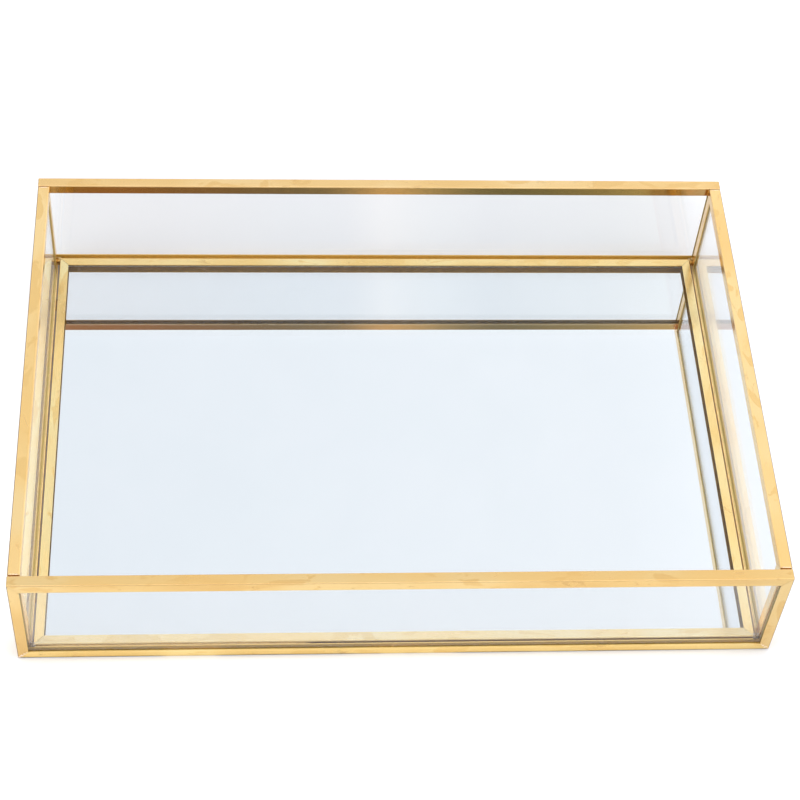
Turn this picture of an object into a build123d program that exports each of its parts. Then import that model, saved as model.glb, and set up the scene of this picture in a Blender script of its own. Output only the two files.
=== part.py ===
"""Dresser vanity tray: a glass box edged in brass channel, with a framed mirror for its base.

Every glass pane stands in its own frame of four mitred U-channels. The front and back panels
run the full width of the tray, the side panels stand between them, and solder in the corner
gaps holds the four together. The framed mirror lies inside the bottom channels, just clear of
the table, and is tacked to them with solder. Nothing on the tray moves.

Millimetres. X runs along the width, -Y is the front and +Z is up. The origin is the middle of
the tray's footprint, at the height of the table.
"""

import os

from build123d import *

# Outside of the tray
TRAY_WIDTH = 300.0
TRAY_DEPTH = 210.0
TRAY_HEIGHT = 52.0

# Brass U-channel, the same stock everywhere
CHANNEL_WIDTH = 4.9  # across the web
CHANNEL_WALL = 0.4
CHANNEL_BEND = 0.45  # outside radius where the web turns into a leg
PANEL_LEG = 4.4  # depth of the channel on the four walls
MIRROR_LEG = 4.0  # depth of the channel round the mirror
MITRE_GAP = 0.12  # between two mitred ends

# Glass
PANE_THICKNESS = 4.0
PANE_EDGE_GAP = 0.4  # between a pane and the webs at its top and ends
MIRROR_THICKNESS = 3.8
BACKING_THICKNESS = 0.2  # silver and paint on the back of the mirror

# How the panels stand to each other
CORNER_GAP = 0.3  # between a side panel and the panel it meets
MIRROR_GAP_X = 1.2  # between the mirror frame and the side panels
MIRROR_GAP_Y = 0.4  # between the mirror frame and the front and back panels
MIRROR_LIFT = 0.5  # underside of the mirror frame above the table

# Solder
SEAM_INSET = 0.9  # the seam stays this far inside the faces of the panels
TACK_LENGTH = 7.0
TACK_HEIGHT = 2.2
TACK_SPACING_X = 240.0
TACK_SPACING_Y = 150.0

SIDE_PANEL_LENGTH = TRAY_DEPTH - 2 * (CHANNEL_WIDTH + CORNER_GAP)
MIRROR_FRAME_WIDTH = TRAY_WIDTH - 2 * (CHANNEL_WIDTH + MIRROR_GAP_X)
MIRROR_FRAME_DEPTH = TRAY_DEPTH - 2 * (CHANNEL_WIDTH + MIRROR_GAP_Y)

os.makedirs("parts", exist_ok=True)


def save(part, label):
    """Label a finished piece and write its STEP file."""
    part.label = label
    export_step(part, f"parts/{label}.step")


def mitred_channel(face, length, leg):
    """A U-channel with 45 degree ends, lying along one edge of a panel.

    face is on the panel's outer face: its origin is the middle of the panel's edge, its x runs
    along the edge, its y points into the panel and its z goes through the panel.
    """
    section = Plane(origin=face.origin, x_dir=face.y_dir, z_dir=face.x_dir)
    half = length / 2
    with BuildPart() as channel:
        with BuildSketch(section):
            Rectangle(leg, CHANNEL_WIDTH, align=(Align.MIN, Align.MIN))
            fillet(vertices().group_by(Axis.X)[0], radius=CHANNEL_BEND)
            with Locations((CHANNEL_WALL, CHANNEL_WALL)):
                slot_width = CHANNEL_WIDTH - 2 * CHANNEL_WALL
                Rectangle(leg, slot_width, align=(Align.MIN, Align.MIN), mode=Mode.SUBTRACT)
        extrude(amount=half, both=True)
        for end in (-1, 1):
            corner = face.from_local_coords((end * half, 0, 0))
            outward = face.x_dir * end + face.y_dir
            mitre = Plane(origin=corner, z_dir=outward).offset(-MITRE_GAP / 2)
            split(bisect_by=mitre, keep=Keep.BOTTOM)
    return channel.part


def panel_frame(panel, width, height, leg, names):
    """Save the four channels round a panel.

    panel is on the panel's outer face and centred on it, with its z pointing through the panel.
    names gives the channel at the bottom of the panel, then anticlockwise in the panel's plane.
    """
    edges = (
        ((0, -height / 2), panel.x_dir, width),
        ((width / 2, 0), panel.y_dir, height),
        ((0, height / 2), -panel.x_dir, width),
        ((-width / 2, 0), -panel.y_dir, height),
    )
    for name, (middle, along, length) in zip(names, edges):
        face = Plane(origin=panel.from_local_coords((*middle, 0)), x_dir=along, z_dir=panel.z_dir)
        save(mitred_channel(face, length, leg), name)


def pane(panel, width, height):
    """A side pane, central in its slot and standing on the bottom web."""
    pane_width = width - 2 * (CHANNEL_WALL + PANE_EDGE_GAP)
    pane_height = height - 2 * CHANNEL_WALL - PANE_EDGE_GAP
    inset = (CHANNEL_WIDTH - PANE_THICKNESS) / 2
    with BuildPart() as glass:
        with BuildSketch(panel.offset(inset)):
            with Locations((0, CHANNEL_WALL - height / 2)):
                Rectangle(pane_width, pane_height, align=(Align.CENTER, Align.MIN))
        extrude(amount=PANE_THICKNESS)
        chamfer(glass.edges(), length=0.25)
    return glass.part


# The four walls. Each plane is on the outer face, x along the wall, y up and z inwards.
mid_height = TRAY_HEIGHT / 2
front = Plane(origin=(0, -TRAY_DEPTH / 2, mid_height), x_dir=(-1, 0, 0), z_dir=(0, 1, 0))
back = Plane(origin=(0, TRAY_DEPTH / 2, mid_height), x_dir=(1, 0, 0), z_dir=(0, -1, 0))
left = Plane(origin=(-TRAY_WIDTH / 2, 0, mid_height), x_dir=(0, 1, 0), z_dir=(1, 0, 0))
right = Plane(origin=(TRAY_WIDTH / 2, 0, mid_height), x_dir=(0, -1, 0), z_dir=(-1, 0, 0))

# Wall, its plane, its length, and the corners at the high and low ends of its x
walls = (
    ("front", front, TRAY_WIDTH, "left", "right"),
    ("back", back, TRAY_WIDTH, "right", "left"),
    ("left", left, SIDE_PANEL_LENGTH, "back", "front"),
    ("right", right, SIDE_PANEL_LENGTH, "front", "back"),
)
for wall, plane, length, high_end, low_end in walls:
    channel_names = (
        f"{wall}_bottom_channel",
        f"{wall}_{high_end}_upright",
        f"{wall}_top_channel",
        f"{wall}_{low_end}_upright",
    )
    panel_frame(plane, length, TRAY_HEIGHT, PANEL_LEG, channel_names)
    save(pane(plane, length, TRAY_HEIGHT), f"{wall}_glass_pane")

# The framed mirror. Its plane is on the upper face of the frame, with z pointing down.
mirror_top = MIRROR_LIFT + CHANNEL_WIDTH
mirror_plane = Plane(origin=(0, 0, mirror_top), x_dir=(1, 0, 0), z_dir=(0, 0, -1))
mirror_names = (
    "mirror_frame_back",
    "mirror_frame_right",
    "mirror_frame_front",
    "mirror_frame_left",
)
panel_frame(mirror_plane, MIRROR_FRAME_WIDTH, MIRROR_FRAME_DEPTH, MIRROR_LEG, mirror_names)

mirror_width = MIRROR_FRAME_WIDTH - 2 * (CHANNEL_WALL + PANE_EDGE_GAP)
mirror_depth = MIRROR_FRAME_DEPTH - 2 * (CHANNEL_WALL + PANE_EDGE_GAP)
backing_bottom = MIRROR_LIFT + CHANNEL_WALL

with BuildPart() as mirror_backing:
    with BuildSketch(Plane.XY.offset(backing_bottom)):
        Rectangle(mirror_width, mirror_depth)
    extrude(amount=BACKING_THICKNESS)
save(mirror_backing.part, "mirror_backing")

with BuildPart() as mirror_glass:
    with BuildSketch(Plane.XY.offset(backing_bottom + BACKING_THICKNESS)):
        Rectangle(mirror_width, mirror_depth)
    extrude(amount=MIRROR_THICKNESS)
    chamfer(mirror_glass.edges().group_by(Axis.Z)[-1], length=0.25)
save(mirror_glass.part, "mirror_glass")

# Solder seams standing in the four corner gaps, seen only as the floor of a thin groove
with BuildPart() as corner_solder_seams:
    seam_x = TRAY_WIDTH / 2 - CHANNEL_WIDTH / 2
    seam_y = SIDE_PANEL_LENGTH / 2 + CORNER_GAP / 2
    with BuildSketch(Plane.XY.offset(SEAM_INSET)):
        with Locations(*[(sx * seam_x, sy * seam_y) for sx in (-1, 1) for sy in (-1, 1)]):
            Rectangle(CHANNEL_WIDTH - 2 * SEAM_INSET, CORNER_GAP)
    extrude(amount=TRAY_HEIGHT - 2 * SEAM_INSET)
save(corner_solder_seams.part, "corner_solder_seams")

# Solder tacks bridging the gap between the mirror frame and the bottom channels
with BuildPart() as mirror_solder_tacks:
    tack_x = MIRROR_FRAME_WIDTH / 2 + MIRROR_GAP_X / 2
    tack_y = MIRROR_FRAME_DEPTH / 2 + MIRROR_GAP_Y / 2
    with BuildSketch(Plane.XY.offset(MIRROR_LIFT)):
        with GridLocations(TACK_SPACING_X, 2 * tack_y, 2, 2):
            Rectangle(TACK_LENGTH, MIRROR_GAP_Y)
        with GridLocations(2 * tack_x, TACK_SPACING_Y, 2, 2):
            Rectangle(MIRROR_GAP_X, TACK_LENGTH)
    extrude(amount=TACK_HEIGHT)
save(mirror_solder_tacks.part, "mirror_solder_tacks")
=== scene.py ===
"""Looks for the dresser vanity tray: brass channel, clear glass, mirror, solder and a pale studio.

Lengths inside the materials are in millimetres. Everything placed in the scene is in metres, in
the CAD frame.
"""

import math
import random

import bmesh
import bpy
from mathutils import Matrix, Vector, noise


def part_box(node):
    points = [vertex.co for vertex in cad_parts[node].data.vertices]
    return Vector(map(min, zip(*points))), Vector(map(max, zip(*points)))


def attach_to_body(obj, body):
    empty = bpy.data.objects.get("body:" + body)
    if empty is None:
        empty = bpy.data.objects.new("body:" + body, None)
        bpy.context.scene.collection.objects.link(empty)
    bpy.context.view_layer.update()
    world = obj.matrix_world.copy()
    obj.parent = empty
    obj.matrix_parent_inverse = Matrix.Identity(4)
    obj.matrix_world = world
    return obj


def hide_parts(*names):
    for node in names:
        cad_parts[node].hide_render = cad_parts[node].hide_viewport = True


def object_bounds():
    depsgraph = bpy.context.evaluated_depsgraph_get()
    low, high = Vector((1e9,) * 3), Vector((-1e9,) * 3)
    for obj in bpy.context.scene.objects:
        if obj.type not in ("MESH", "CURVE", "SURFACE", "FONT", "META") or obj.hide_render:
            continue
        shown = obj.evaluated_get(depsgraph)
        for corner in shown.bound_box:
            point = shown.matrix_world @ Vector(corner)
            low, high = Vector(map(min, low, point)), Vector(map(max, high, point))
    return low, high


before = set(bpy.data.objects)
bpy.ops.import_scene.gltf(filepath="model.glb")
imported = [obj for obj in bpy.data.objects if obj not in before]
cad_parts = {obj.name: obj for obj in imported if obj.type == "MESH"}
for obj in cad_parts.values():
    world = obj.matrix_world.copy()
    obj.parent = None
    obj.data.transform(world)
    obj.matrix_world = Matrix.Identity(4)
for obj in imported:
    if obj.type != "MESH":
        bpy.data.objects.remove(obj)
CAD_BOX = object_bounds()

MM = 0.001
SEED = 41
AXES = range(3)

# Camera
SENSOR = 36.0
LENS = 93.84
CAMERA_PLACE = (-0.0595, -0.5301, 0.7193)
CAMERA_TILT = 37.73  # degrees away from straight down
CAMERA_TURN = -6.83
CAMERA_ROLL = 5.24


# ---------------------------------------------------------------- node helpers


class Nodes:
    """A short way to write a node tree. Inputs are given by name or number, as values or sockets."""

    def __init__(self, tree):
        self.tree = tree
        tree.nodes.clear()

    def feed(self, socket, value):
        if isinstance(value, bpy.types.NodeSocket):
            self.tree.links.new(value, socket)
        else:
            socket.default_value = value

    def add(self, kind, inputs=None, **settings):
        node = self.tree.nodes.new(kind)
        for key, value in settings.items():
            setattr(node, key, value)
        for key, value in (inputs or {}).items():
            self.feed(node.inputs[key], value)
        return node

    def maths(self, operation, a, b=0.0, clamp=False):
        node = self.add("ShaderNodeMath", {0: a, 1: b}, operation=operation)
        node.use_clamp = clamp
        return node.outputs[0]

    def times(self, a, b):
        return self.maths("MULTIPLY", a, b)

    def steps(self, value, low, high, to_low=0.0, to_high=1.0):
        """value eased from to_low at low to to_high at high."""
        inputs = {
            "Value": value,
            "From Min": low,
            "From Max": high,
            "To Min": to_low,
            "To Max": to_high,
        }
        return self.add("ShaderNodeMapRange", inputs, interpolation_type="SMOOTHSTEP").outputs["Result"]

    def band(self, value, low_edge, low, high, high_edge):
        """1 where value is between low and high, eased to 0 at the two edges."""
        return self.times(self.steps(value, low_edge, low), self.steps(value, high_edge, high))

    def mix(self, share, a, b, blend="MIX"):
        node = self.add("ShaderNodeMix", data_type="RGBA", blend_type=blend)
        self.feed(node.inputs[0], share)
        self.feed(node.inputs[6], a)
        self.feed(node.inputs[7], b)
        return node.outputs[2]

    def noise(self, place, scale, detail=3.0, roughness=0.55, distortion=0.0):
        inputs = {
            "Vector": place,
            "Scale": scale,
            "Detail": detail,
            "Roughness": roughness,
            "Distortion": distortion,
        }
        return self.add("ShaderNodeTexNoise", inputs).outputs[0]

    def cells(self, place, scale):
        """The distance to the nearest of many scattered points."""
        node = self.add("ShaderNodeTexVoronoi", {"Vector": place, "Scale": scale}, feature="F1")
        return node.outputs["Distance"]

    def scaled(self, place, scale, shift=(0.0, 0.0, 0.0)):
        node = self.add("ShaderNodeMapping", {"Vector": place, "Location": shift, "Scale": scale})
        return node.outputs["Vector"]

    def parts(self, vector):
        """The x, y and z of a vector."""
        return self.add("ShaderNodeSeparateXYZ", {0: vector}).outputs

    def place(self):
        """Where the shaded point is, in millimetres from the middle of the tray's footprint."""
        return self.scaled(self.add("ShaderNodeTexCoord").outputs["Object"], (1.0 / MM,) * 3)

    def facing(self):
        """The x, y and z of the way the surface faces."""
        return self.parts(self.add("ShaderNodeNewGeometry").outputs["Normal"])

    def bump(self, height, strength, distance):
        inputs = {"Strength": strength, "Distance": distance, "Height": height}
        return self.add("ShaderNodeBump", inputs).outputs[0]

    def surface(self, shader):
        self.add("ShaderNodeOutputMaterial", {"Surface": shader.outputs[0]})

    def principled(self, **inputs):
        """A Principled shader. An underscore in a name stands for the space in the input's name."""
        named = {key.replace("_", " "): value for key, value in inputs.items()}
        return self.add("ShaderNodeBsdfPrincipled", named)


def new_material(name):
    material = bpy.data.materials.new(name)
    material.use_nodes = True
    return material, Nodes(material.node_tree)


def rgb(red, green, blue):
    return (red, green, blue, 1.0)


def grey(level):
    return rgb(level, level, level)


# ---------------------------------------------------------------- brass

BRASS_LIGHT = rgb(0.895, 0.620, 0.272)
BRASS_DEEP = rgb(0.820, 0.535, 0.205)
BRASS_STAIN = rgb(0.560, 0.340, 0.130)
BRASS_ROOM_REFLECTION_RED = rgb(0.720, 0.420, 0.130)
BRASS_ROOM_REFLECTION_OLIVE = rgb(0.620, 0.420, 0.160)
BRASS_BEND_HIGHLIGHT = rgb(1.0, 0.770, 0.420)
BRASS_OUTER_BEND_SHADE = rgb(0.250, 0.160, 0.110)
BRASS_SLOT_SHADING = rgb(0.600, 0.460, 0.160)
BRASS_FOOT_SHADOW = rgb(0.050, 0.040, 0.030)
FRONTWARD = (-0.60, -0.95)  # the y of a normal where a face begins to look forward, and fully does

# What differs by panel, and then for single channels. The keys are brass()'s arguments. The
# tones are lighter and darker copies of one brass, painted light and shade for how each is lit.
PANEL_TONES = {
    "front": {
        "light": rgb(0.785, 0.530, 0.220),
        "deep": rgb(0.722, 0.453, 0.166),
        "front_shade": rgb(0.950, 0.950, 0.900),
    },
    "back": {"light": rgb(0.845, 0.585, 0.270), "deep": rgb(0.775, 0.500, 0.200), "front_room_reflection": 0.7},
    "mirror": {
        "light": rgb(1.0, 0.775, 0.375),
        "deep": rgb(0.940, 0.660, 0.265),
        "inside": rgb(0.450, 0.240, 0.050),
    },
}
CHANNEL_TONES = {
    "front_bottom_channel": {
        "light": rgb(0.960, 0.705, 0.295),
        "deep": rgb(0.890, 0.605, 0.215),
        "inside": rgb(0.820, 0.560, 0.160),
        "foot_shadow": 0.9,
    },
    "back_bottom_channel": {"inside": rgb(0.860, 0.570, 0.145)},
    "back_top_channel": {"inside": rgb(0.240, 0.155, 0.075)},
    "mirror_frame_front": {"light": rgb(0.820, 0.665, 0.375), "deep": rgb(0.765, 0.575, 0.283)},
    "back_left_upright": {"front_room_reflection": 0.3},
    "back_right_upright": {"front_room_reflection": 0.3},
}

stains = random.Random(SEED)


def is_channel(node):
    return "channel" in node or "upright" in node or "mirror_frame" in node


def panel_name(node):
    """The panel a channel belongs to: front, back, left, right or mirror."""
    return node.split("_")[0]


def panel_box(node):
    """The outside of the whole panel that a channel belongs to, as (low, high)."""
    channels = [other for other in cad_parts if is_channel(other)]
    boxes = [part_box(other) for other in channels if panel_name(other) == panel_name(node)]
    low = Vector([min(box[0][axis] for box in boxes) for axis in AXES])
    high = Vector([max(box[1][axis] for box in boxes) for axis in AXES])
    return low, high


def long_axis(node):
    low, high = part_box(node)
    return max(AXES, key=lambda axis: high[axis] - low[axis])


def stretch(axis, share):
    """A texture scale that draws the pattern out along one axis."""
    scale = [1.0, 1.0, 1.0]
    scale[axis] = share
    return tuple(scale)


def paler(tone):
    """The same brass where the lacquer has thinned."""
    red, green, blue, _ = tone
    return rgb(min(1.0, red * 1.04), green * 1.12, blue * 1.30)


def slot_mask(n, spot, low, high):
    """1 on the surfaces within a panel's channels and 0 on its outside. spot is x, y and z in mm."""
    inside = 1.0
    for axis in AXES:
        middle = (low[axis] + high[axis]) / 2 / MM
        half = (high[axis] - low[axis]) / 2 / MM
        off = n.maths("ABSOLUTE", n.maths("SUBTRACT", spot[axis], middle))
        inside = n.times(inside, n.steps(off, half - 0.15, half - 0.25))
    return inside


def brass(
    node,
    light=BRASS_LIGHT,
    deep=BRASS_DEEP,
    inside=BRASS_SLOT_SHADING,
    front_room_reflection=0.0,
    foot_shadow=0.0,
    front_shade=None,
):
    """Satin brass for one channel, with soft stains, rougher bends and painted light and shade.

    light and deep are the two tones it drifts between, and inside is a matt colour for the surfaces
    within the slot: painted light and shade standing in for the light the glass carries in. tarnish
    browns the faces that look towards the front as painted shade for the dim room they reflect,
    front_shade is multiplied into them as painted shade, and grime paints a patchy shadow along the
    strip's foot. The bends get a painted highlight, and those that face out of the tray painted shade.
    """
    axis = long_axis(node)
    shift = tuple(stains.uniform(-200.0, 200.0) for _ in AXES)
    material, n = new_material("brass_" + node)
    place = n.place()
    spot = n.parts(place)
    facing = n.facing()
    slot = slot_mask(n, spot, *panel_box(node))

    flat = [n.maths("ABSOLUTE", facing[i]) for i in AXES]
    flattest = n.maths("MAXIMUM", n.maths("MAXIMUM", flat[0], flat[1]), flat[2])
    bend = n.steps(flattest, 0.995, 0.93)

    cloud_place = n.scaled(place, stretch(axis, 0.45), shift)
    clouds = n.noise(cloud_place, 0.045, 2.0, 0.5, 0.2)
    islands = n.noise(cloud_place, 0.13, 3.0, 0.5, 0.9)
    patches = n.noise(n.scaled(cloud_place, stretch(axis, 1.0), (90.0, 40.0, 11.0)), 0.24, 3.0, 0.55, 1.2)
    lines = n.noise(n.scaled(place, stretch(axis, 0.04)), 2.6, 2.0, 0.5)
    grain = n.noise(place, 1.9, 3.0, 0.6)
    stain = n.steps(patches, 0.64, 0.72)
    pit = n.times(n.steps(n.cells(place, 0.22), 0.075, 0.035), n.steps(grain, 0.50, 0.60))

    # The lacquer: slow drifts, islands with an edge, stains, drawing lines and pits
    tone = n.mix(n.steps(clouds, 0.44, 0.66, 0.0, 0.70), light, deep)
    tone = n.mix(n.steps(clouds, 0.50, 0.36, 0.0, 0.65), tone, paler(light))
    tone = n.mix(n.times(n.steps(islands, 0.560, 0.600), 0.68), tone, deep)
    tone = n.mix(n.times(stain, 0.42), tone, BRASS_STAIN)
    tone = n.mix(n.steps(lines, 0.55, 0.80, 0.0, 0.05), tone, BRASS_STAIN)
    tone = n.mix(n.times(pit, 0.55), tone, BRASS_STAIN)

    # What changes from face to face
    # Painted shade: the faces that look forward are browned for the dim room they reflect.
    if front_room_reflection:
        room_reflection_tone = n.mix(n.steps(clouds, 0.35, 0.65), BRASS_ROOM_REFLECTION_RED, BRASS_ROOM_REFLECTION_OLIVE)
        tone = n.mix(n.steps(facing[1], *FRONTWARD, 0.0, front_room_reflection), tone, room_reflection_tone)
    # Painted shade: the faces that look forward are darkened.
    if front_shade:
        tone = n.mix(n.steps(facing[1], *FRONTWARD), tone, front_shade, blend="MULTIPLY")
    # Painted light and shade: the slot's surfaces take a matt colour standing in for the light the glass
    # carries in.
    tone = n.mix(slot, tone, inside)
    # Painted highlight: the bends are made paler.
    tone = n.mix(n.times(bend, 0.22), tone, BRASS_BEND_HIGHLIGHT)
    # Painted shade: the bends that face out of the tray are darkened.
    side = n.maths("DIVIDE", spot[0], CAD_BOX[1][0] / MM)
    outer_bend_shade = n.steps(n.times(side, facing[0]), 0.05, 0.25)
    tone = n.mix(n.times(n.times(outer_bend_shade, bend), 0.95), tone, BRASS_OUTER_BEND_SHADE)
    # Painted shadow: patches along the foot, where the strip meets the floor, are darkened.
    if foot_shadow:
        foot = n.steps(spot[2], 0.85, 0.50)
        tone = n.mix(n.times(foot, n.steps(clouds, 0.42, 0.52, 0.25 * foot_shadow, foot_shadow)), tone, BRASS_FOOT_SHADOW)

    rough = n.steps(clouds, 0.35, 0.70, 0.19, 0.27)
    rough = n.maths("ADD", rough, n.times(stain, 0.10))
    rough = n.maths("ADD", rough, n.times(bend, 0.25), clamp=True)
    if front_room_reflection:
        rough = n.times(rough, n.steps(facing[1], *FRONTWARD, 1.0, 0.45))

    height = n.times(lines, 0.07)
    height = n.maths("ADD", height, n.times(clouds, 0.9))
    height = n.maths("ADD", height, n.times(grain, 0.05))
    height = n.maths("SUBTRACT", height, n.times(pit, 0.4))

    metal = n.maths("SUBTRACT", 1.0, n.times(slot, 0.75))
    bump = n.bump(height, 0.25, 0.0002)
    n.surface(n.principled(Base_Color=tone, Metallic=metal, Roughness=rough, Normal=bump))
    return material


# ---------------------------------------------------------------- other materials

GLASS_TINT = rgb(0.905, 0.912, 0.920)
GLASS_FILM = rgb(0.860, 0.870, 0.880)
GLASS_EDGE = rgb(0.660, 0.550, 0.360)
GLASS_SHADOW = rgb(0.980, 0.985, 0.985)
MIRROR_TINT = rgb(0.985, 0.993, 0.995)
SILVER_TONES = (rgb(0.890, 0.925, 0.965), rgb(0.905, 0.935, 0.975))
SILVER_SPECK = rgb(0.350, 0.350, 0.360)
BACK_PAINT_TONES = (rgb(0.170, 0.180, 0.190), rgb(0.230, 0.235, 0.240))
SOLDER_GAP = rgb(0.300, 0.200, 0.110)
FLOOR_TONES = (rgb(0.960, 0.970, 0.985), rgb(0.970, 0.980, 0.990))
FLOOR_SHADOW_BEHIND = rgb(0.735, 0.743, 0.762)
FLOOR_SHADOW_BESIDE = rgb(0.880, 0.895, 0.930)
FLOOR_GLOW = rgb(0.920, 0.970, 1.060)
GLOW_STRENGTH = 0.12

# Where the floor carries a painted shadow, in millimetres, across it and then along it. Four
# numbers fade in and out again, and two only fade.
SHADOW_BEHIND = ((172.0, 140.0), (-60.0, 115.0, 160.0, 230.0))
SHADOW_BESIDE = ((120.0, 152.0, 175.0, 225.0), (150.0, 90.0))


def solder(name, gilt, bare):
    """Tin solder brushed over with gold lacquer: gilt where it lies thick and bare where it's thin."""
    material, n = new_material(name)
    place = n.place()
    thin = n.noise(place, 0.9, 4.0, 0.65, 0.6)
    lumps = n.noise(place, 1.6, 3.0, 0.6)
    tone = n.mix(n.steps(thin, 0.40, 0.62), gilt, bare)
    tone = n.mix(n.steps(lumps, 0.62, 0.76, 0.0, 0.6), tone, SOLDER_GAP)
    rough = n.steps(lumps, 0.3, 0.7, 0.28, 0.5)
    bump = n.bump(lumps, 0.5, 0.0003)
    n.surface(n.principled(Base_Color=tone, Metallic=1.0, Roughness=rough, Normal=bump))
    return material


def glass(name, tint, haze, thin_axis):
    """Float glass that lets lamps and bounced light straight through, with matt ground edges.

    haze is how much the wiped film shows, and thin_axis is the axis (0, 1 or 2) through the pane.
    """
    material, n = new_material(name)
    place = n.place()
    edge = n.steps(n.maths("ABSOLUTE", n.facing()[thin_axis]), 0.80, 0.60)
    film = n.noise(n.scaled(place, (1.0, 0.6, 1.4)), 0.035, 5.0, 0.6, 0.8)
    grit = n.noise(place, 2.5, 3.0, 0.6)
    wave = n.noise(place, 0.012, 1.0, 0.4)
    colour = n.mix(n.steps(film, 0.35, 0.75, 0.0, haze), tint, GLASS_FILM)
    body = n.principled(
        Base_Color=n.mix(edge, colour, GLASS_EDGE),
        Roughness=n.times(edge, n.steps(grit, 0.30, 0.70, 0.45, 0.75)),
        IOR=1.52,
        Transmission_Weight=n.maths("SUBTRACT", 1.0, edge),
        Normal=n.bump(wave, 0.05, 0.0004),
    )
    clear = n.add("ShaderNodeBsdfTransparent", {"Color": GLASS_SHADOW})
    ray = n.add("ShaderNodeLightPath").outputs
    shader = body
    for kind in ("Is Diffuse Ray", "Is Shadow Ray"):
        inputs = {0: ray[kind], 1: shader.outputs[0], 2: clear.outputs[0]}
        shader = n.add("ShaderNodeMixShader", inputs)
    n.surface(shader)
    return material


def silvering():
    """The silver coat under the mirror glass, a little blue, with faint cloudiness and black specks."""
    material, n = new_material("mirror_silvering")
    place = n.place()
    cloud = n.noise(place, 0.02, 4.0, 0.6, 0.5)
    speck = n.steps(n.cells(place, 0.05), 0.014, 0.006, 0.0, 0.5)
    tone = n.mix(n.steps(cloud, 0.3, 0.7), *SILVER_TONES)
    n.surface(n.principled(Base_Color=n.mix(speck, tone, SILVER_SPECK), Metallic=1.0, Roughness=0.0))
    return material


def backing_paint():
    """Grey protective paint on the underside of the mirror."""
    material, n = new_material("mirror_back_paint")
    place = n.place()
    orange_peel = n.noise(place, 0.6, 3.0, 0.6)
    streaks = n.noise(n.scaled(place, stretch(0, 0.05)), 0.25, 4.0, 0.6)
    tone = n.mix(n.steps(streaks, 0.3, 0.7), *BACK_PAINT_TONES)
    rough = n.steps(orange_peel, 0.3, 0.7, 0.45, 0.62)
    n.surface(n.principled(Base_Color=tone, Roughness=rough, Normal=n.bump(orange_peel, 0.3, 0.0002)))
    return material


def floor_paint():
    """Matt white over a faint light of its own, with a painted shadow just behind and right of the tray."""
    material, n = new_material("studio_floor")
    place = n.place()
    x, y, _ = n.parts(place)
    # Painted shadow: the floor is darkened in a band behind the tray and in one beside its right side.
    across, along = SHADOW_BEHIND
    behind = n.band(y, *along)
    behind = n.times(behind, n.steps(n.maths("ABSOLUTE", x), *across))
    across, along = SHADOW_BESIDE
    beside = n.band(x, *across)
    beside = n.times(beside, n.maths("SUBTRACT", 1.0, behind))
    beside = n.times(beside, n.steps(y, *along))
    tone = n.mix(n.noise(place, 0.01, 2.0), *FLOOR_TONES)
    tone = n.mix(behind, tone, FLOOR_SHADOW_BEHIND)
    tone = n.mix(beside, tone, FLOOR_SHADOW_BESIDE, blend="MULTIPLY")
    matt = n.add("ShaderNodeBsdfDiffuse", {"Color": tone, "Roughness": 0.0})
    glow = n.add("ShaderNodeEmission", {"Color": FLOOR_GLOW, "Strength": GLOW_STRENGTH})
    n.surface(n.add("ShaderNodeAddShader", {0: matt.outputs[0], 1: glow.outputs[0]}))
    return material


# ---------------------------------------------------------------- mesh helpers


def mesh_object(name, bm, material, smooth=True):
    """Finishes a bmesh as an object in the scene."""
    bmesh.ops.recalc_face_normals(bm, faces=bm.faces)
    mesh = bpy.data.meshes.new(name)
    bm.to_mesh(mesh)
    bm.free()
    mesh.polygons.foreach_set("use_smooth", [smooth] * len(mesh.polygons))
    mesh.materials.append(material)
    item = bpy.data.objects.new(name, mesh)
    bpy.context.scene.collection.objects.link(item)
    return item


def attach(item):
    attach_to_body(item, "root")


def use(node, material):
    """Gives a carried-over CAD node this material."""
    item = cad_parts[node]
    item.data.materials.clear()
    item.data.materials.append(material)


def loose_boxes(node):
    """The bounding box of each separate solid in a CAD node, as (low, high) pairs."""
    bm = bmesh.new()
    bm.from_mesh(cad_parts[node].data)
    bmesh.ops.remove_doubles(bm, verts=bm.verts, dist=0.001 * MM)
    waiting = set(bm.verts)
    boxes = []
    while waiting:
        reached = [waiting.pop()]
        solid = list(reached)
        while reached:
            for edge in reached.pop().link_edges:
                for vert in edge.verts:
                    if vert in waiting:
                        waiting.remove(vert)
                        reached.append(vert)
                        solid.append(vert)
        low = Vector([min(vert.co[axis] for vert in solid) for axis in AXES])
        high = Vector([max(vert.co[axis] for vert in solid) for axis in AXES])
        boxes.append((low, high))
    bm.free()
    return sorted(boxes, key=lambda box: tuple(box[0]))


def join_loops(bm, near, far):
    """Faces between two loops of the same number of vertices."""
    for i in range(len(near)):
        j = (i + 1) % len(near)
        bm.faces.new((near[i], near[j], far[j], far[i]))


def add_lump(bm, middle, radii, seed, roughness=0.28, flat_below=-1.0, rings=14, sectors=24):
    """Adds a blob of frozen solder: an oval swollen and dented by noise, level below flat_below radii."""
    shift = Vector((seed * 7.31, seed * 3.17, seed * 5.71))

    def swell(way):
        size = 1.0 + roughness * noise.noise(way * 1.3 + shift)
        size += 0.4 * roughness * noise.noise(way * 3.7 - shift)
        height = max(way.z * size, flat_below)
        return Vector((way.x * size * radii[0], way.y * size * radii[1], height * radii[2])) + Vector(middle)

    rows = []
    for ring in range(1, rings):
        polar = math.pi * ring / rings
        row = []
        for sector in range(sectors):
            turn = 2 * math.pi * sector / sectors
            level = math.sin(polar)
            way = Vector((level * math.cos(turn), level * math.sin(turn), math.cos(polar)))
            row.append(bm.verts.new(swell(way)))
        rows.append(row)
    top = bm.verts.new(swell(Vector((0.0, 0.0, 1.0))))
    bottom = bm.verts.new(swell(Vector((0.0, 0.0, -1.0))))
    for i in range(sectors):
        j = (i + 1) % sectors
        bm.faces.new((top, rows[0][i], rows[0][j]))
        bm.faces.new((bottom, rows[-1][j], rows[-1][i]))
        for upper, lower in zip(rows, rows[1:]):
            bm.faces.new((upper[i], lower[i], lower[j], upper[j]))


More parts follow.
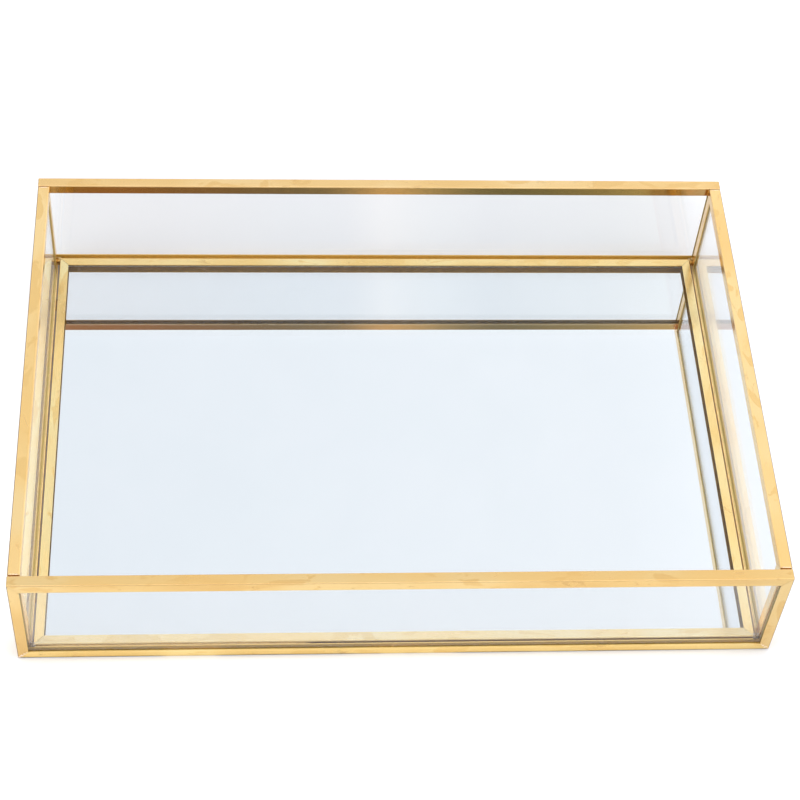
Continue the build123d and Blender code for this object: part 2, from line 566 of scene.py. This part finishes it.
def add_run(bm, start, end, gap, fill, seed):
    """Adds solder that ran along a gap: an uneven cord from start to end, thinning at its ends.

    fill is half the cord's usual width as a share of the gap.
    """
    rows = 240
    around = 10
    height = 0.35 * MM
    least = 0.01 * MM
    length = (end - start).length
    way = (end - start) / length
    across = Vector((-way.y, way.x, 0.0))
    loops = []
    for row in range(rows + 1):
        share = row / rows
        along = share * length
        ripple = noise.noise(Vector((along * 160, seed, 7.0)))
        ripple += 0.5 * noise.noise(Vector((along * 700, seed + 2.0, 1.0)))
        taper = min(1.0, 12.0 * (1.0 - share), 12.0 * share) ** 0.5
        wide = gap * (fill + 0.10 * ripple) * taper + least
        tall = height * (1.0 + 0.5 * ripple) * taper + least
        ring = []
        for step in range(around):
            turn = 2 * math.pi * step / around
            off = across * wide * math.cos(turn) + Vector((0.0, 0.0, tall * math.sin(turn)))
            ring.append(bm.verts.new(start + way * along + off))
        loops.append(ring)
    for near, far in zip(loops, loops[1:]):
        join_loops(bm, near, far)
    bm.faces.new(loops[0][::-1])
    bm.faces.new(loops[-1])


def add_slab(bm, low, high, corner, wander, seed, steps=60):
    """Adds a thin sheet from low to high with rounded corners and an edge that wanders a little."""
    middle = (low + high) / 2
    half = (high - low) / 2
    outline = []
    for sx, sy, first_turn in ((1, 1, 0), (-1, 1, 90), (-1, -1, 180), (1, -1, 270)):
        for step in range(7):
            turn = math.radians(first_turn + 15 * step)
            x = sx * (half.x - corner) + corner * math.cos(turn)
            y = sy * (half.y - corner) + corner * math.sin(turn)
            outline.append((x, y))
    edge = []
    for (x0, y0), (x1, y1) in zip(outline, outline[1:] + outline[:1]):
        pieces = max(1, round(math.hypot(x1 - x0, y1 - y0) / (half.x / steps)))
        for piece in range(pieces):
            share = piece / pieces
            point = Vector((x0 + (x1 - x0) * share, y0 + (y1 - y0) * share, 0.0))
            inward = wander * (0.5 + 0.5 * noise.noise(point * 400 + Vector((seed, 0.0, 0.0))))
            point = Vector((point.x * (1 - inward / half.x), point.y * (1 - inward / half.y), 0.0))
            edge.append(point + middle)
    under = [bm.verts.new((point.x, point.y, low.z)) for point in edge]
    over = [bm.verts.new((point.x, point.y, high.z)) for point in edge]
    bm.faces.new(over)
    bm.faces.new(under[::-1])
    join_loops(bm, under, over)


# ---------------------------------------------------------------- the tray

SIDE_GLASS = glass("side_pane_glass", GLASS_TINT, haze=0.15, thin_axis=0)
LONG_GLASS = glass("long_pane_glass", GLASS_TINT, haze=0.15, thin_axis=1)
MIRROR_GLASS = glass("mirror_float_glass", MIRROR_TINT, haze=0.04, thin_axis=2)
SOLDER = solder("solder_lacquered", rgb(0.80, 0.60, 0.33), rgb(0.60, 0.53, 0.47))
GREY_SOLDER = solder("solder_bare", rgb(0.40, 0.31, 0.22), rgb(0.33, 0.28, 0.26))
GILT_SOLDER = solder("solder_gilt", rgb(0.95, 0.72, 0.34), rgb(0.80, 0.60, 0.30))
BROWN_SOLDER = solder("solder_scorched", rgb(0.70, 0.50, 0.22), rgb(0.36, 0.25, 0.12))
PINK_SOLDER = solder("solder_bright", rgb(1.0, 0.78, 0.48), rgb(0.98, 0.78, 0.60))

CORNERS = ((-1, -1), (1, -1), (-1, 1), (1, 1))

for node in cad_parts:
    if is_channel(node):
        tones = dict(PANEL_TONES.get(panel_name(node), {}))
        tones.update(CHANNEL_TONES.get(node, {}))
        use(node, brass(node, **tones))
    elif "pane" in node:
        use(node, SIDE_GLASS if long_axis(node) == 1 else LONG_GLASS)
    elif node == "mirror_glass":
        use(node, MIRROR_GLASS)
    elif "solder" in node:
        use(node, SOLDER)


def build_silver():
    """Two thin layers under the mirror glass: the silver, then the paint that protects it."""
    low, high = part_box("mirror_backing")
    gap = 0.02 * MM
    silver = 0.06 * MM
    silver_bottom = high.z - gap - silver

    bm = bmesh.new()
    silver_low = Vector((low.x, low.y, silver_bottom))
    silver_high = high - Vector((0, 0, gap))
    add_slab(bm, silver_low, silver_high, corner=0.6 * MM, wander=0.0, seed=1)
    silver_coat = mesh_object("mirror_silver_coat", bm, silvering(), smooth=False)
    attach(silver_coat)
    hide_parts("mirror_backing")

    bm = bmesh.new()
    paint_high = Vector((high.x, high.y, silver_bottom - gap))
    add_slab(bm, low, paint_high, corner=1.2 * MM, wander=0.5 * MM, seed=5)
    attach(mesh_object("mirror_back_coat", bm, backing_paint(), smooth=False))


def build_gap_runs():
    """Solder along part of the front gap round the mirror frame, and gilt cords all along both side
    gaps: a painted reflection of the gold the brass walls give there.
    """
    low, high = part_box("mirror_frame_front")
    front_gap = low.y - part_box("front_bottom_channel")[1].y
    side_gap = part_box("right_bottom_channel")[0].x - high.x
    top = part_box("front_bottom_channel")[1].z - 0.1 * MM
    front_length = 109.0 * MM

    y = low.y - front_gap / 2
    bm = bmesh.new()
    add_run(bm, Vector((low.x, y, top)), Vector((low.x + front_length, y, top)), front_gap, 0.62, 3.0)
    attach(mesh_object("front_gap_solder", bm, GILT_SOLDER))

    # Painted reflection: the side cords stand in for the gold the brass walls reflect into the gaps.
    bm = bmesh.new()
    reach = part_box("mirror_frame_right")[1].y - 1.0 * MM
    for side in (-1, 1):
        x = side * (high.x + 0.68 * side_gap)
        add_run(bm, Vector((x, -reach, top)), Vector((x, reach, top)), side_gap, 0.28, 11.0 + side)
    attach(mesh_object("side_gap_solder", bm, GILT_SOLDER))


def build_tacks():
    """Lumpy solder where the plain tacks are, each kept inside its own gap."""
    bm = bmesh.new()
    for index, (low, high) in enumerate(loose_boxes("mirror_solder_tacks")):
        add_lump(bm, (low + high) / 2, (high - low) / 2 * 0.94, SEED + index, roughness=0.10)
    tacks = mesh_object("solder_tacks", bm, SOLDER)
    attach(tacks)
    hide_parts("mirror_solder_tacks")


def build_corner_solder():
    """The lump left in each bottom corner, where the mirror frame meets two walls."""
    draw = random.Random(SEED)
    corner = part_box("mirror_frame_right")[1]
    leg_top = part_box("front_bottom_channel")[1].z
    for name, sy, material in (("front", -1, GREY_SOLDER), ("back", 1, BROWN_SOLDER)):
        bm = bmesh.new()
        for sx in (-1, 1):
            seed = 2 * sy + sx + 6
            x = sx * (corner.x + 0.3 * MM)
            y = sy * (corner.y - 0.5 * MM)
            wide = draw.uniform(1.3, 1.7) * MM
            deep = draw.uniform(1.2, 1.5) * MM
            tall = draw.uniform(1.1, 1.4) * MM
            add_lump(bm, (x, y, leg_top), (wide, deep, tall), seed, flat_below=-0.8)
            nub = (x + sx * 0.7 * MM, y + sy * 0.2 * MM, leg_top + 0.9 * MM)
            add_lump(bm, nub, (0.45 * wide, 0.4 * deep, 1.1 * tall), seed + 7)
        attach(mesh_object(name + "_corner_solder", bm, material))


def build_joint_beads():
    """A thin bright bead where each side rail butts against the front or back rail."""
    radii = (2.0 * MM, 0.24 * MM, 0.16 * MM)
    bm = bmesh.new()
    for index, (sx, sy) in enumerate(CORNERS):
        low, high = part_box(("left" if sx < 0 else "right") + "_top_channel")
        joint = low.y if sy < 0 else high.y
        middle = ((low.x + high.x) / 2, joint - sy * 0.30 * MM, high.z - 0.02 * MM)
        add_lump(bm, middle, radii, 20 + index, roughness=0.2)
    attach(mesh_object("rim_joint_beads", bm, PINK_SOLDER))


def build_mitre_dabs():
    """A thin smear of bright solder over each mitre at the bottom front corners."""
    dabs = ((0.7, 0.55), (1.7, 0.75), (2.8, 0.60), (3.7, 0.40))  # distance along the mitre, and size
    bm = bmesh.new()
    for side, node in enumerate(("front_left_upright", "front_right_upright")):
        low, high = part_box(node)
        inward = 1 if side == 0 else -1
        outer = low.x if side == 0 else high.x
        for step, (along, size) in enumerate(dabs):
            middle = (outer + inward * along * MM, low.y + 0.03 * MM, low.z + (along + 0.1) * MM)
            radii = (size * MM, 0.09 * MM, size * 0.9 * MM)
            add_lump(bm, middle, radii, 31 + 4 * side + step, roughness=0.45)
    attach(mesh_object("mitre_solder_dabs", bm, PINK_SOLDER))


build_silver()
build_gap_runs()
build_tacks()
build_corner_solder()
build_joint_beads()
build_mitre_dabs()

# ---------------------------------------------------------------- studio

WALL_LEFT = rgb(0.895, 0.920, 0.945)
WALL_RIGHT = rgb(1.01, 1.02, 1.03)
FAR_LEFT_GAIN = 1.10
FAR_RIGHT_GAIN = 1.20
LOW_WALL_GAIN = 1.11
ZENITH = rgb(0.92, 0.95, 0.99)
RING_LIGHT = rgb(2.32, 2.41, 2.55)
ROOM_OUTER = math.radians(34.0)  # the dim room fades in between these angles from the camera
ROOM_INNER = math.radians(20.0)

# The colours behind the camera, from left to right, each with its place across the room.
ROOM = (
    (0.00, (0.52, 0.28, 0.12)),
    (0.20, (0.35, 0.22, 0.13)),
    (0.38, (0.24, 0.25, 0.25)),
    (0.46, (0.31, 0.31, 0.31)),
    (0.52, (1.00, 0.83, 0.64)),
    (0.58, (0.54, 0.54, 0.47)),
    (0.68, (0.17, 0.20, 0.20)),
    (0.80, (0.35, 0.37, 0.28)),
    (0.90, (0.73, 0.66, 0.45)),
    (1.00, (1.00, 0.89, 0.61)),
)
ROOM_LEFT = -0.11  # the x of a view direction where the room starts
ROOM_WIDTH = 0.34


def build_floor():
    reach = 4.0
    level = -0.02 * MM
    bm = bmesh.new()
    around = ((-1, -1), (1, -1), (1, 1), (-1, 1))
    bm.faces.new([bm.verts.new((x * reach, y * reach, level)) for x, y in around])
    mesh_object("studio_floor", bm, floor_paint(), smooth=False)


def studio_white(n, side, ahead, up):
    """The white of the walls and ceiling, with a ring of light round a plainer zenith."""
    white = n.mix(n.steps(side, -0.25, 0.40), WALL_LEFT, WALL_RIGHT)
    far_right = n.steps(side, 0.17, 0.32)
    white = n.mix(far_right, white, grey(FAR_RIGHT_GAIN), blend="MULTIPLY")
    far_left = n.steps(side, -0.07, -0.22)
    white = n.mix(far_left, white, grey(FAR_LEFT_GAIN), blend="MULTIPLY")
    low_wall = n.steps(n.maths("DIVIDE", ahead, n.maths("MAXIMUM", up, 0.05)), 0.81, 0.835)
    white = n.mix(low_wall, white, grey(LOW_WALL_GAIN), blend="MULTIPLY")
    white = n.mix(n.steps(up, 0.92, 0.96), white, ZENITH)
    return n.mix(n.band(up, 0.865, 0.925, 0.955, 0.985), white, RING_LIGHT)


def room_colours(n, way, side):
    """The room behind the camera, as a ramp across it that wavers a little."""
    waver = n.maths("SUBTRACT", n.noise(n.scaled(way, (1.0, 0.5, 0.5)), 14.0, 2.0, 0.5), 0.5)
    across = n.maths("ADD", side, n.times(waver, 0.04))
    share = n.maths("DIVIDE", n.maths("ADD", across, -ROOM_LEFT), ROOM_WIDTH)
    ramp = n.add("ShaderNodeValToRGB", {0: share})
    stops = ramp.color_ramp.elements
    for index, (place, colour) in enumerate(ROOM):
        stop = stops[index] if index < 2 else stops.new(place)
        stop.position = place
        stop.color = rgb(*colour)
    return ramp.outputs["Color"]


def build_world():
    """Bright white all round, with the dimmer room the camera stands in on the camera's side."""
    world = bpy.data.worlds.new("studio_world")
    bpy.context.scene.world = world
    world.use_nodes = True
    n = Nodes(world.node_tree)
    way = n.add("ShaderNodeTexCoord").outputs["Generated"]
    side, ahead, up = n.parts(way)
    towards_camera = tuple(Vector(CAMERA_PLACE).normalized())
    near = n.add("ShaderNodeVectorMath", {0: way, 1: towards_camera}, operation="DOT_PRODUCT")
    dim = n.steps(near.outputs["Value"], math.cos(ROOM_OUTER), math.cos(ROOM_INNER))
    colour = n.mix(dim, studio_white(n, side, ahead, up), room_colours(n, way, side))
    back = n.add("ShaderNodeBackground", {"Color": colour, "Strength": 1.0})
    n.add("ShaderNodeOutputWorld", {"Surface": back.outputs[0]})


def build_lamp(name, place, power):
    """A soft round lamp that shines at the middle of the tray."""
    data = bpy.data.lights.new(name, "AREA")
    data.shape = "DISK"
    data.size = 0.9
    data.energy = power
    lamp = bpy.data.objects.new(name, data)
    bpy.context.scene.collection.objects.link(lamp)
    lamp.location = place
    lamp.rotation_euler = (-Vector(place)).to_track_quat("-Z", "Y").to_euler()


def build_camera():
    data = bpy.data.cameras.new("camera")
    data.sensor_width = SENSOR
    data.lens = LENS
    data.clip_start = 0.01
    camera = bpy.data.objects.new("camera", data)
    bpy.context.scene.collection.objects.link(camera)
    turn = Matrix.Rotation(math.radians(CAMERA_TURN), 4, "Z")
    tilt = Matrix.Rotation(math.radians(CAMERA_TILT), 4, "X")
    roll = Matrix.Rotation(math.radians(CAMERA_ROLL), 4, "Z")
    camera.matrix_world = Matrix.Translation(CAMERA_PLACE) @ turn @ tilt @ roll
    bpy.context.scene.camera = camera


build_floor()
build_world()
build_lamp("key", (1.3, -0.2, 1.4), 4.0)
build_lamp("fill", (-1.2, -0.3, 1.4), 3.0)
build_camera()

scene = bpy.context.scene
scene.view_settings.view_transform = "Standard"
scene.cycles.max_bounces = 24
scene.cycles.transmission_bounces = 20
scene.cycles.glossy_bounces = 10
scene.cycles.transparent_max_bounces = 24
